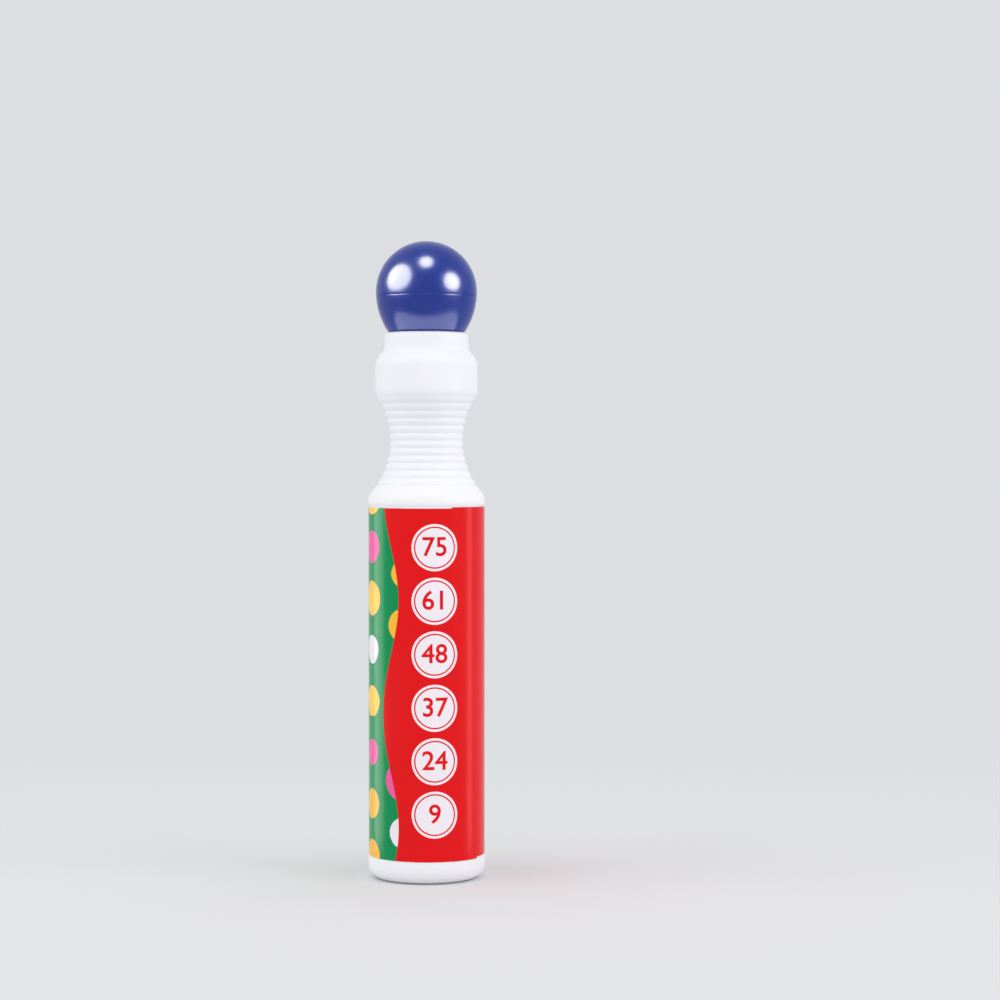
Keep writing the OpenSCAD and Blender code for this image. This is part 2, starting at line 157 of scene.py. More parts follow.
class BottleSizes(PropertyGroup):
    """Sizes and colours of the bottle."""

    wall: length("Wall", "Thickness of the bottle's wall", 1)
    heel_r: length("Heel", "Radius of the rounded heel", 2.7)
    push_up: length("Push-up", "Rise of the hollow under the base", 1.2)
    floor_t: length("Floor", "Thickness of the floor over that hollow", 1.2)
    floor_corner_r: length("Floor Corner", "Radius of the corner inside the floor", 1.5)
    stand_w: length("Standing Ring", "Width of the ring that the bottle stands on", 1.6)
    panel_z: length("Panel Height", "Height of the label panel's lower edge", 4.6)
    panel_len: length("Panel Length", "Length of the label panel", 72.2)
    panel_depth: length("Panel Depth", "Depth of the label panel", 0.19)
    shoulder_len: length("Shoulder Band", "Height of the band over the label", 0.6)
    shoulder_r: length("Shoulder Round", "Radius from the band into the waist", 3)
    waist_r: length("Waist", "Radius of the narrowest place, over the ribs", 7.5)
    waist_arc_r: length("Waist Arc", "Radius of the arc that draws the waist in", 16.5)
    rib_pitch: length("Rib Pitch", "Distance from rib to rib", 1.52)
    rib_depth: length("Rib Depth", "Depth of the grooves between ribs", 0.28)
    rib_fade: amount("Rib Fade", "Ribs over which the grooves at each end grow to full depth", 1.5, 0.5)
    ribs_below: count("Lower Ribs", "Ribs under the waist", 7)
    ribs_above: count("Upper Ribs", "Ribs over the waist", 6)
    bulb_r: length("Bulb", "Radius of the bulb over the waist", 10.5)
    bulb_len: length("Bulb Side", "Height of the bulb's straight side", 4.5)
    bulb_low_r: length("Bulb Foot", "Radius from the waist into the bulb", 4)
    bulb_top_r: length("Bulb Top", "Radius of the bulb's upper round", 3.6)
    collar_r: length("Collar", "Radius of the collar round the mouth", 8.6)
    collar_hollow_r: length("Collar Hollow", "Radius between bulb and collar", 2)
    collar_edge_r: length("Collar Edge", "Radius of the collar's top edge", 0.9)
    pocket_r: length("Mouth Pocket", "Radius of the seat for the flange", 7.25)
    pocket_depth: length("Pocket Depth", "Depth of that seat", 0.8)
    bore_r: length("Mouth Bore", "Radius of the mouth", 6.6)
    bore_len: length("Bore Length", "Length of the mouth's bore", 3.2)
    edge: length("Edges", "Width of the softened edges", 0.09)
    parting: length("Parting Line", "Height of the mould's parting line", 0.025)
    base_parting: length("Base Line", "Height of that line across the base", 0.1)
    white: colour("White", "Colour of the bottle", "f5f5f9")


class LabelSizes(PropertyGroup):
    """Sizes, print and colours of the wrap label."""

    thickness: length("Thickness", "Thickness of the label", 0.08)
    overlap_start: angle("Overlap Start", "Angle from the front to the overlap", 27)
    overlap: angle("Overlap", "Angle that the overlap covers", 33)
    ramp: angle("Overlap Ramp", "Angle in which the upper layer climbs onto the lower", 4)
    drop: length("Askew", "Drop of the overlapping end", 0.3)
    edge_left: length("Left Edge", "Distance from the front to the field's left edge", -7.6)
    edge_right: length("Right Edge", "Distance from the front to the field's right edge", 26)
    wave: length("Wave", "Depth of the wave in those edges", 2)
    wave_len: length("Wave Length", "Length of a wave", 46)
    disc_r: length("Disc", "Radius of a number disc", 4.75)
    disc_pitch: length("Disc Pitch", "Distance from disc to disc", 10.8)
    disc_side: length("Disc Side", "Distance from the front to the column of discs", 2)
    disc_low: length("First Disc", "Height of the lowest disc's middle", 14.3)
    ring_r: length("Ring", "Radius of the ring printed in a disc", 4.1)
    ring_w: length("Ring Width", "Width of that ring", 0.3)
    figure: length("Figures", "Size of the figures in the discs", 5.4)
    figure_bold: length("Bold", "Width that is added round the strokes of the figures", 0.07)
    figure_depth: length("Ink Depth", "Thickness of the printed figures", 0.024)
    dot_r: length("Dots", "Radius of the smallest dots", 2.6)
    dot_spread: length("Dot Spread", "Difference between the smallest and largest dots", 1.6)
    dot_ragged: length("Ragged Dots", "Unevenness of the dots' edges", 0.5)
    dot_rows: length("Dot Rows", "Height of a row of dots", 10.5)
    dot_columns: count("Dot Columns", "Even number of columns round the label", 8, 2)
    red: colour("Red", "Colour of the field", "e60d12")
    green: colour("Green", "Colour of the sides", "048f52")
    white: colour("White", "Colour of the discs", "f6eff6")
    paper: colour("Paper", "Colour of the cut edges", "e8e6e2")


class CapSizes(PropertyGroup):
    """Sizes and colours of the ball cap."""

    wall: length("Wall", "Thickness of the ball's shells", 1.3)
    seam: length("Seam", "Gap between the two shells", 0.04)
    seam_drop: length("Seam Drop", "Drop of the seam below the equator", 0.9)
    tongue_len: length("Tongue", "Height of the tongue inside the seam", 1.2)
    tongue_gap: length("Tongue Gap", "Room round the tongue", 0.03)
    rim_wall: length("Rim", "Width of the rim round the neck", 1.15)
    rim_floor: length("Rim Floor", "Thickness of the rim's floor", 0.9)
    bore_r: length("Bore", "Radius of the rim's bore", 6.72)
    pocket_r: length("Pocket", "Radius of the sleeve's seat in the rim", 7.65)
    edge: length("Edges", "Width of the softened edges", 0.04)
    blue: colour("Blue", "Colour of the ball", "052c8e")


class NibSizes(PropertyGroup):
    """Sizes and colours of the nib and its valve."""

    radius: length("Radius", "Radius of the nib", 5.1)
    step_len: length("Step", "Height of the step that keeps the nib in", 1.6)
    dome_len: length("Dome", "Height of the dome", 2.2)
    edge: length("Edges", "Width of the softened edges", 0.25)
    fuzz: length("Fuzz", "Depth of the felt's uneven surface", 0.05)
    fibre_len: length("Fibres", "Length of a loose fibre", 0.5)
    fibre_r: length("Fibre Radius", "Radius of a loose fibre", 0.018)
    fibres: count("Fibre Count", "Loose fibres on the dome", 900)
    wire: length("Wire", "Diameter of the spring's wire", 0.45)
    coils: amount("Coils", "Turns of the spring", 5, 1)
    travel: length("Travel", "Travel of the nib when it is pressed", 1)
    felt: colour("Felt", "Colour of the inked felt", "1f3590")
    natural: colour("Valve", "Colour of the valve's plastic", "e6e5df")
    rubber: colour("Rubber", "Colour of the washer", "1c1c1e")
    foam: colour("Foam", "Colour of the cap's seal", "e3e2de")
    ink: colour("Ink", "Colour of the ink", "101a5c")
    steel: colour("Steel", "Colour of the spring", "c2c4c8")


class StageSizes(PropertyGroup):
    """Camera, lamps and floor."""

    camera_side: length("Camera Side", "Distance of the camera to the right of the dauber", 15.1)
    camera_back: length("Camera Distance", "Distance of the camera from the dauber", 538.6)
    camera_z: length("Camera Height", "Height of the camera", 89.95)
    pitch: angle("Camera Pitch", "Angle by which the camera looks down", 1.31)
    lens: FloatProperty(name="Lens", description="Focal length", default=94.3, unit="CAMERA")
    aim_z: length("Lamp Aim", "Height that the lamps point at", 80)
    lamp_distance: length("Lamp Distance", "Distance that the lamps' places are measured in", 700)
    sheet_w: length("Sheet Width", "Width of the bright sheet round the dauber's foot", 500)
    sheet_len: length("Sheet Length", "Length of that sheet", 200)
    sheet_front: length("Sheet Front", "Distance from the dauber to the sheet's front edge", 141)
    sheet_z: length("Sheet Height", "Height of the sheet over the floor", 2)
    sheet_power: FloatProperty(
        name="Sheet Power", description="Power of the sheet", default=1, unit="POWER"
    )
    ambient: factor("Ambient", "Strength of the light from all around", 0.86)
    floor_size: length("Floor", "Half width of the floor", 4000)
    floor_drop: length("Floor Drop", "Gap between the floor and the base", 0.02)
    fade_start: length("Fade Start", "Distance at which the floor starts to fade into the backdrop", 60)
    fade_end: length("Fade End", "Distance at which the floor has faded", 420)
    floor: colour("Floor", "Colour of the floor", "dedfe2")
    backdrop: colour("Backdrop", "Colour of the backdrop", "dcdee1")


class DauberSettings(PropertyGroup):
    """All the settings of the dauber."""

    bottle: PointerProperty(type=BottleSizes)
    label: PointerProperty(type=LabelSizes)
    cap: PointerProperty(type=CapSizes)
    nib: PointerProperty(type=NibSizes)
    stage: PointerProperty(type=StageSizes)


# Outlines and meshes


def arc(centre_r, centre_z, radius, start, end, steps):
    """Points on an arc, as pairs of radius and height, with angles in degrees from outwards to upwards."""
    turns = [math.radians(start + (end - start) * i / steps) for i in range(steps + 1)]
    return [(centre_r + radius * math.cos(t), centre_z + radius * math.sin(t)) for t in turns]


def ease(share):
    """A share, kept from 0 to 1, that starts and ends level."""
    share = max(0, min(1, share))
    return share * share * (3 - 2 * share)


def outline_loop(bm, outline):
    """Vertices and edges of a closed outline of radius and height."""
    verts = [bm.verts.new((radius, 0, height)) for radius, height in outline]
    edges = [bm.edges.new(pair) for pair in zip(verts, verts[1:] + verts[:1])]
    return verts, edges


def turned(outline, steps=TURN_STEPS):
    """A closed outline of radius and height, turned about the axis."""
    bm = bmesh.new()
    verts, edges = outline_loop(bm, outline)
    bmesh.ops.spin(
        bm, geom=verts + edges, cent=(0, 0, 0), axis=(0, 0, 1), angle=math.tau, steps=steps, use_merge=True
    )
    close_up(bm)
    return bm


def close_up(bm):
    """Merges doubles, clears what has no area and turns the faces outwards."""
    bmesh.ops.remove_doubles(bm, verts=bm.verts, dist=MERGED)
    bmesh.ops.dissolve_degenerate(bm, dist=MERGED, edges=bm.edges)
    bmesh.ops.recalc_face_normals(bm, faces=bm.faces)


def fill_ends(bm, sides):
    """Closes the open ends of a tube that has so many sides."""
    ends = [edge for edge in bm.edges if edge.is_boundary]
    bmesh.ops.holes_fill(bm, edges=ends, sides=sides)


def soften(bm, width, segments):
    """Rounds the sharp edges."""
    bm.normal_update()
    edges = [edge for edge in bm.edges if edge.calc_face_angle(0) > ROUNDED_ANGLE]
    bmesh.ops.bevel(
        bm, geom=edges, offset=width, offset_type="OFFSET", affect="EDGES", segments=segments,
        profile=0.5, material=-1, clamp_overlap=True,
    )
    bmesh.ops.recalc_face_normals(bm, faces=bm.faces)


def finish_piece(bm, name, body, materials, replaces=()):
    """Makes a bmesh into a smooth piece that rides on a body."""
    bm.normal_update()
    for face in bm.faces:
        face.smooth = True
    for edge in bm.edges:
        edge.smooth = edge.calc_face_angle(0) < SHADED_ANGLE
    mesh = bpy.data.meshes.new(name)
    bm.to_mesh(mesh)
    bm.free()
    piece = bpy.data.objects.new(name, mesh)
    bpy.context.collection.objects.link(piece)
    for item in materials:
        mesh.materials.append(item)
    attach(piece, body)
    if replaces:
        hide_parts(*replaces)
    return piece


# Shader nodes


class NodeKit:
    """Adds nodes to a tree and feeds their sockets with values or links."""

    def __init__(self, tree):
        """Starts with an empty tree."""
        self.tree = tree
        tree.nodes.clear()

    def feed(self, socket, value):
        """Links an output to a socket, or sets the socket to a plain value."""
        if isinstance(value, bpy.types.NodeSocket):
            self.tree.links.new(value, socket)
        else:
            socket.default_value = value

    def dress(self, shader, **sockets):
        """Feeds a shader's sockets, which are named with underscores for spaces."""
        for name, value in sockets.items():
            self.feed(shader.inputs[name.replace("_", " ")], value)

    def add(self, kind, inputs=None, **settings):
        """A shader node with its settings and inputs."""
        node = self.tree.nodes.new("ShaderNode" + kind)
        for name, value in settings.items():
            setattr(node, name, value)
        for name, value in (inputs or {}).items():
            self.feed(node.inputs[name], value)
        return node

    def calc(self, operation, *values):
        """The result of a calculation."""
        node = self.add("Math", operation=operation)
        for socket, value in zip(node.inputs, values):
            self.feed(socket, value)
        return node.outputs[0]

    def distance(self, across, up):
        """Distance of a point from the place that its two coordinates are measured from."""
        squares = self.calc("ADD", self.calc("POWER", across, 2.0), self.calc("POWER", up, 2.0))
        return self.calc("SQRT", squares)

    def blend(self, share, one, two, **settings):
        """Colour one where share is 0 and two where it is 1."""
        node = self.add("Mix", data_type="RGBA", **settings)
        # Sockets of the Mix node share their names, so those for colours go by number
        for index, value in ((0, share), (6, one), (7, two)):
            self.feed(node.inputs[index], value)
        return node.outputs[2]

    def noise(self, scale, detail=3.0, rough=0.5, place=None):
        """Noise on the piece, with so many patches to the metre."""
        inputs = {"Scale": scale, "Detail": detail, "Roughness": rough}
        inputs["Vector"] = place or self.place()
        return self.add("TexNoise", inputs).outputs["Fac"]

    def place(self):
        """The piece's own coordinates."""
        return self.add("TexCoord").outputs["Object"]

    def ramp(self, value, low, high, to_low=0.0, to_high=1.0):
        """A value that goes from to_low to to_high between low and high."""
        inputs = {"Value": value, "From Min": low, "From Max": high, "To Min": to_low, "To Max": to_high}
        return self.add("MapRange", inputs, clamp=True).outputs["Result"]

    def bump(self, height, distance):
        """Normals of a surface that is raised by a height of up to a distance."""
        return self.add("Bump", {"Height": height, "Distance": distance, "Strength": 1.0}).outputs["Normal"]

    def group(self, tree, inputs):
        """The outputs of a node group with its inputs."""
        node = self.add("Group", node_tree=tree)
        for name, value in inputs.items():
            self.feed(node.inputs[name], value)
        return node.outputs


def new_material(name, **sockets):
    """A material with a Principled BSDF whose plain sockets are set."""
    item = bpy.data.materials.new(name)
    item.use_nodes = True
    kit = NodeKit(item.node_tree)
    shader = kit.add("BsdfPrincipled")
    output = kit.add("OutputMaterial")
    kit.feed(output.inputs["Surface"], shader.outputs["BSDF"])
    kit.dress(shader, **sockets)
    return item, kit, shader


def new_group(name, inputs, outputs):
    """An empty shader node group with float sockets."""
    tree = bpy.data.node_groups.new(name, "ShaderNodeTree")
    for socket, default in inputs.items():
        made = tree.interface.new_socket(socket, in_out="INPUT", socket_type="NodeSocketFloat")
        made.default_value = default
    for socket in outputs:
        tree.interface.new_socket(socket, in_out="OUTPUT", socket_type="NodeSocketFloat")
    kit = NodeKit(tree)
    given = tree.nodes.new("NodeGroupInput").outputs
    out = tree.nodes.new("NodeGroupOutput").inputs
    return tree, kit, given, out


def moulded_skin():
    """Grain of a moulded surface: uneven gloss, the height of the grain and a soft change of tone."""
    found = bpy.data.node_groups.get("Moulded Skin")
    if found:
        return found
    inputs = {"Grain": 1500.0, "Rough Low": 0.3, "Rough High": 0.4}
    tree, kit, given, out = new_group("Moulded Skin", inputs, ("Roughness", "Height", "Tone"))
    place = kit.place()
    patches = kit.noise(180.0, detail=4.0, rough=0.6, place=place)
    clouds = kit.noise(55.0, detail=2.0, place=place)
    kit.feed(out["Roughness"], kit.ramp(patches, 0.3, 0.7, given["Rough Low"], given["Rough High"]))
    kit.feed(out["Height"], kit.noise(given["Grain"], detail=2.0, place=place))
    kit.feed(out["Tone"], kit.ramp(clouds, 0.35, 0.65))
    return tree


def toned(tint, share):
    """A colour made darker by a share."""
    return (*[channel * (1 - share) for channel in tint[:3]], 1)


def plastic(name, tint, drift, grain, rough, depth, **sockets):
    """A moulded plastic whose tint drifts darker by a share, with a grain of some depth."""
    item, kit, shader = new_material(name, **sockets)
    skin = kit.group(moulded_skin(), {"Grain": grain, "Rough Low": rough[0], "Rough High": rough[1]})
    kit.dress(
        shader,
        Base_Color=kit.blend(skin["Tone"], tint, toned(tint, drift)),
        Roughness=skin["Roughness"],
        Normal=kit.bump(skin["Height"], depth),
    )
    return item


# Materials


def bottle_plastic(size):
    """White blow-moulded plastic that lets a little light in."""
    return plastic(
        "Bottle White", size.white, drift=0.035, grain=900.0, rough=(0.36, 0.46), depth=0.004 * MM,
        Subsurface_Weight=0.12, Subsurface_Scale=0.6 * MM, Subsurface_Radius=(1, 0.9, 0.85),
    )


def cap_plastic(size):
    """Glossy blue plastic with a faint ripple."""
    return plastic(
        "Cap Blue", size.blue, drift=0.1, grain=420.0, rough=(0.18, 0.24), depth=0.004 * MM,
        Specular_IOR_Level=0.4,
    )


# Skin of the varnish over the print, and its specular level
VARNISH = {"Grain": 2600.0, "Rough Low": 0.21, "Rough High": 0.25}
VARNISH_SPECULAR = 0.15

# Colours of the dots, amber, pink, yellow and white, each with the chance from which a dot has it
DOT_TINTS = (
    (0.0, (0.97, 0.52, 0.05, 1)),
    (0.3, (0.9, 0.11, 0.38, 1)),
    (0.55, (0.99, 0.62, 0.09, 1)),
    (0.8, (0.88, 0.84, 0.88, 1)),
)


def label_print(size):
    """Varnished print: a red field between green sides, a column of white discs and loose coloured dots."""
    item, kit, shader = new_material("Label Print", Specular_IOR_Level=VARNISH_SPECULAR)
    along, height = unrolled(kit)
    side = wavy_sides(kit, size, along, height)
    dot, tint = scattered_dots(kit, size, along, height)
    disc, ring = number_discs(kit, size, along, height)
    sheet = kit.blend(side, size.red, size.green)
    sheet = kit.blend(kit.calc("MULTIPLY", dot, side), sheet, tint)
    sheet = kit.blend(disc, sheet, size.white)
    sheet = kit.blend(ring, sheet, size.red)

    skin = kit.group(moulded_skin(), VARNISH)
    drift = kit.ramp(skin["Tone"], 0.0, 1.0, to_low=0.97)
    grey = kit.add("CombineColor", {"Red": drift, "Green": drift, "Blue": drift}).outputs[0]
    kit.dress(
        shader,
        Base_Color=kit.blend(1.0, sheet, grey, blend_type="MULTIPLY"),
        Roughness=skin["Roughness"],
        Normal=kit.bump(skin["Height"], 0.001 * MM),
    )
    return item


def unrolled(kit):
    """Distance round the label from its front, and height."""
    split = kit.add("SeparateXYZ", {"Vector": kit.place()}).outputs
    turn = kit.calc("ARCTAN2", split["X"], kit.calc("MULTIPLY", split["Y"], -1.0))
    return kit.calc("MULTIPLY", turn, LABEL_OUT_R), split["Z"]


def wavy_sides(kit, size, along, height):
    """Mask of the sides, past the wavy edges of the field."""
    swing = kit.calc("SINE", kit.calc("MULTIPLY", height, math.tau / size.wave_len))
    shift = kit.calc("MULTIPLY", swing, size.wave)
    left = kit.calc("LESS_THAN", along, kit.calc("ADD", shift, size.edge_left))
    right = kit.calc("GREATER_THAN", along, kit.calc("ADD", shift, size.edge_right))
    return kit.calc("MAXIMUM", left, right)


def scattered_dots(kit, size, along, height):
    """Mask and colour of the dots, one in each cell of a staggered grid round the label."""
    cell_w = math.tau * LABEL_OUT_R / size.dot_columns
    across = kit.calc("DIVIDE", along, cell_w)
    column = kit.calc("FLOOR", across)
    stagger = kit.calc("MULTIPLY", kit.calc("FLOORED_MODULO", column, 2.0), 0.5)
    up = kit.calc("ADD", kit.calc("DIVIDE", height, size.dot_rows), stagger)
    cell = kit.add("CombineXYZ", {"X": column, "Y": kit.calc("FLOOR", up)}).outputs["Vector"]
    chance = kit.add("TexWhiteNoise", {"Vector": cell}, noise_dimensions="2D").outputs
    away = kit.distance(from_middle(kit, across, cell_w), from_middle(kit, up, size.dot_rows))
    uneven = kit.calc("SUBTRACT", kit.noise(420.0, detail=2.0), 0.5)
    ragged = kit.calc("MULTIPLY", uneven, size.dot_ragged)
    radius = kit.calc("ADD", kit.calc("MULTIPLY", chance["Value"], size.dot_spread), size.dot_r)
    dot = kit.calc("LESS_THAN", kit.calc("ADD", away, ragged), radius)
    drawn = kit.add("SeparateColor", {"Color": chance["Color"]}).outputs["Green"]
    return dot, dot_tint(kit, drawn)


def from_middle(kit, cells, width):
    """Distance from the middle of a cell, from a place that is counted in cells."""
    return kit.calc("MULTIPLY", kit.calc("SUBTRACT", kit.calc("FRACT", cells), 0.5), width)


def dot_tint(kit, chance):
    """Colour of a dot by chance."""
    node = kit.add("ValToRGB", {"Fac": chance})
    tints = node.color_ramp
    tints.interpolation = "CONSTANT"
    while len(tints.elements) < len(DOT_TINTS):
        tints.elements.new(0.5)
    for element, (start, tint) in zip(tints.elements, DOT_TINTS):
        element.position = start
        element.color = tint
    return node.outputs["Color"]


def number_discs(kit, size, along, height):
    """Masks of the white discs up the front and of the ring printed in each."""
    rows = kit.calc("DIVIDE", kit.calc("SUBTRACT", height, size.disc_low), size.disc_pitch)
    nearest = kit.calc("MAXIMUM", kit.calc("ROUND", rows), 0.0)
    nearest = kit.calc("MINIMUM", nearest, len(FIGURES) - 1.0)
    from_row = kit.calc("MULTIPLY", kit.calc("SUBTRACT", rows, nearest), size.disc_pitch)
    away = kit.distance(kit.calc("SUBTRACT", along, size.disc_side), from_row)
    disc = kit.calc("LESS_THAN", away, size.disc_r)
    off_ring = kit.calc("ABSOLUTE", kit.calc("SUBTRACT", away, size.ring_r))
    return disc, kit.calc("LESS_THAN", off_ring, size.ring_w / 2)


def cut_paper(size):
    """The label's cut edges, with the sheet's fibres."""
    item, kit, shader = new_material("Label Edge", Roughness=0.8)
    fibres = kit.noise(5000.0)
    kit.dress(shader, Base_Color=kit.blend(fibres, size.paper, toned(size.paper, 0.12)))
    return item


def printing_ink(size):
    """Red ink of the printed figures, a little uneven."""
    item, kit, shader = new_material("Figure Red", Specular_IOR_Level=VARNISH_SPECULAR)
    skin = kit.group(moulded_skin(), VARNISH)
    red = kit.blend(skin["Tone"], size.red, toned(size.red, 0.1))
    kit.dress(shader, Base_Color=red, Roughness=skin["Roughness"])
    return item


def inked_felt(size):
    """Dense felt soaked with ink, darker where it is wet."""
    item, kit, shader = new_material("Nib Felt", Sheen_Weight=0.35, Sheen_Roughness=0.4)
    matted = kit.noise(1800.0, detail=5.0, rough=0.7)
    wet = kit.ramp(kit.noise(220.0, rough=0.6), 0.42, 0.6)
    dry = kit.blend(matted, toned(size.felt, 0.35), size.felt)
    kit.dress(
        shader,
        Base_Color=kit.blend(wet, dry, toned(size.felt, 0.5)),
        Roughness=kit.ramp(wet, 0.0, 1.0, to_low=0.95, to_high=0.6),
        Normal=kit.bump(matted, 0.12 * MM),
    )
    return item


def spring_steel(size):
    """Drawn steel wire with a fine grain."""
    item, kit, shader = new_material("Spring Steel", Metallic=1.0)
    drawn = kit.noise(2400.0, detail=4.0, rough=0.6)
    kit.dress(
        shader,
        Base_Color=kit.blend(drawn, size.steel, toned(size.steel, 0.25)),
        Roughness=kit.ramp(drawn, 0.3, 0.7, to_low=0.22, to_high=0.38),
        Normal=kit.bump(drawn, 0.003 * MM),
    )
    return item


def soft_material(name, tint, grain, depth):
    """Matte rubber or foam with a fine open grain."""
    item, kit, shader = new_material(name)
    cells = kit.noise(grain, detail=4.0, rough=0.6)
    kit.dress(
        shader,
        Base_Color=kit.blend(cells, toned(tint, 0.15), tint),
        Roughness=kit.ramp(cells, 0.2, 0.8, to_low=0.7, to_high=0.9),
        Normal=kit.bump(cells, depth),
    )
    return item


def ink_fluid(size):
    """The ink charge, dark and glossy, with a little sediment."""
    item, kit, shader = new_material("Ink Blue")
    cloud = kit.noise(160.0, detail=4.0, rough=0.6)
    kit.dress(
        shader,
        Base_Color=kit.blend(cloud, size.ink, toned(size.ink, 0.4)),
        Roughness=kit.ramp(cloud, 0.3, 0.7, to_low=0.05, to_high=0.12),
    )
    return item


def pale_floor(size):
    """A matte floor that the camera sees fade into the backdrop."""
    item, kit, shader = new_material("Floor", Base_Color=size.floor, Roughness=0.9, Specular_IOR_Level=0.1)
    far = kit.add("Emission", {"Color": size.backdrop, "Strength": 1.0}).outputs["Emission"]
    away = kit.add("VectorMath", {0: kit.place()}, operation="LENGTH").outputs["Value"]
    fade = kit.ramp(away, size.fade_start, size.fade_end)
    seen = kit.calc("MULTIPLY", fade, kit.add("LightPath").outputs["Is Camera Ray"])
    mixed = kit.add("MixShader", {0: seen, 1: shader.outputs["BSDF"], 2: far}).outputs["Shader"]
    kit.feed(kit.tree.nodes["Material Output"].inputs["Surface"], mixed)
    return item


# Bottle


def waist_outline(size, shoulder_z):
    """Points up the ribbed waist, the same without ribs, and the height at which the bulb starts."""
    axis_r = size.waist_r + size.waist_arc_r

    def rise(end_r, round_r):
        """Height from the waist to where the round at one of its ends is upright."""
        return math.sqrt((size.waist_arc_r + round_r) ** 2 - (axis_r - end_r + round_r) ** 2)

    def joint(end_z, round_r):
        """Height at which the round at an end touches the waist's arc."""
        return end_z + (waist_z - end_z) * round_r / (size.waist_arc_r + round_r)

    def smooth(z):
        """Radius at a height, without ribs."""
        if z < joint(shoulder_z, size.shoulder_r):
            return BODY_R - size.shoulder_r + math.sqrt(size.shoulder_r ** 2 - (z - shoulder_z) ** 2)
        if z > joint(bulb_z, size.bulb_low_r):
            return size.bulb_r - size.bulb_low_r + math.sqrt(size.bulb_low_r ** 2 - (bulb_z - z) ** 2)
        return axis_r - math.sqrt(size.waist_arc_r ** 2 - (z - waist_z) ** 2)

    def ribbed(pitches):
        """Point at so many rib pitches over the waist."""
        z = waist_z + pitches * size.rib_pitch
        from_end = min(size.ribs_below + 0.5 + pitches, size.ribs_above + 0.5 - pitches)
        depth = size.rib_depth * min(1, from_end / size.rib_fade)
        return smooth(z) - depth * (1 - abs(math.sin(math.pi * pitches))), z

    def plain(start_z, end_z, steps):
        """Points without ribs from one height up to another, which is left out."""
        heights = [start_z + (end_z - start_z) * i / steps for i in range(steps)]
        return [(smooth(z), z) for z in heights]

    waist_z = shoulder_z + rise(BODY_R, size.shoulder_r)
    bulb_z = waist_z + rise(size.bulb_r, size.bulb_low_r)
    first = round(-(size.ribs_below + 0.5) * RIB_STEPS)
    last = round((size.ribs_above + 0.5) * RIB_STEPS)
    ribs = [ribbed(i / RIB_STEPS) for i in range(first, last + 1)]
    lower = plain(shoulder_z, ribs[0][1], steps=8)
    upper = plain(ribs[-1][1], bulb_z, steps=8)[1:]
    inside = plain(shoulder_z, bulb_z, steps=24) + [(size.bulb_r, bulb_z)]
    return lower + ribs + upper, inside, bulb_z


def bottle_outline(size):
    """Outline of the bottle's wall, from the base up the outside to the mouth and back down the inside."""
    stand_r = BODY_R - size.heel_r
    hollow_r = stand_r - size.stand_w
    panel_r = BODY_R - size.panel_depth
    panel_top_z = size.panel_z + size.panel_len
    waist, inside, bulb_z = waist_outline(size, panel_top_z + size.shoulder_len)

    steps = 10
    base = [(hollow_r * i / steps, size.push_up * (1 - (i / steps) ** 2)) for i in range(steps + 1)]
    heel = arc(stand_r, size.heel_r, size.heel_r, -90, 0, steps=10)
    panel = [(BODY_R, size.panel_z), (panel_r, size.panel_z), (panel_r, panel_top_z), (BODY_R, panel_top_z)]

    bulb_top_z = bulb_z + size.bulb_len
    inset = size.bulb_r - size.collar_r
    sweep_r = size.bulb_top_r + size.collar_hollow_r
    sweep = math.degrees(math.acos((sweep_r - inset) / sweep_r))
    collar_z = bulb_top_z + sweep_r * math.sin(math.radians(sweep))
    bulb = arc(size.bulb_r - size.bulb_top_r, bulb_top_z, size.bulb_top_r, 0, sweep, steps=10)
    hollow_axis_r = size.collar_r + size.collar_hollow_r
    hollow = arc(hollow_axis_r, collar_z, size.collar_hollow_r, 180 + sweep, 180, steps=8)[1:]
    edge_axis_r = size.collar_r - size.collar_edge_r
    collar = arc(edge_axis_r, MOUTH_Z - size.collar_edge_r, size.collar_edge_r, 0, 90, steps=8)

    flange_z = MOUTH_Z - size.pocket_depth
    bore_z = flange_z - size.bore_len
    pocket = [(size.pocket_r, MOUTH_Z), (size.pocket_r, flange_z)]
    bore = [(size.bore_r, flange_z), (size.bore_r, bore_z), (size.bulb_r - size.wall, bulb_top_z)]

    inner_r = panel_r - size.wall
    floor_z = size.push_up + size.floor_t
    drawn_in = [(min(inner_r, radius - size.rib_depth - size.wall), z) for radius, z in reversed(inside)]
    corner_r = size.floor_corner_r
    corner = arc(inner_r - corner_r, floor_z + corner_r, corner_r, 0, -90, steps=6)
    outer_side = base + heel + panel + waist + [(size.bulb_r, bulb_z)] + bulb + hollow + collar
    return outer_side + pocket + bore + drawn_in + corner + [(0, floor_z)]


def raise_parting_line(bm, size):
    """Lifts the line where the mould's halves met, up both sides above the label and across the base."""
    panel_top_z = size.panel_z + size.panel_len
    for vert in bm.verts:
        radius = math.hypot(vert.co.x, vert.co.y)
        on_line = abs(vert.co.y) < ON_LINE < radius
        outside = vert.normal.xy.dot(vert.co.xy) > 0
        underneath = vert.normal.z < -FACING and 0 < vert.co.z < size.push_up
        if on_line and outside and vert.co.z > panel_top_z:
            vert.co.xy *= 1 + size.parting / radius
        elif on_line and underneath:
            vert.co.z = max(0, vert.co.z - size.base_parting)


class DAUBER_OT_bottle(Operator):
    """Model the ribbed bottle"""

    bl_idname = "dauber.bottle"
    bl_label = "Bottle"

    def execute(self, context):
        size = context.scene.dauber.bottle
        bm = turned(bottle_outline(size))
        bm.normal_update()
        raise_parting_line(bm, size)
        soften(bm, size.edge, segments=2)
        finish_piece(bm, "bottle_shell", "bottle", [bottle_plastic(size)], ["bottle"])
        return {"FINISHED"}


# Label


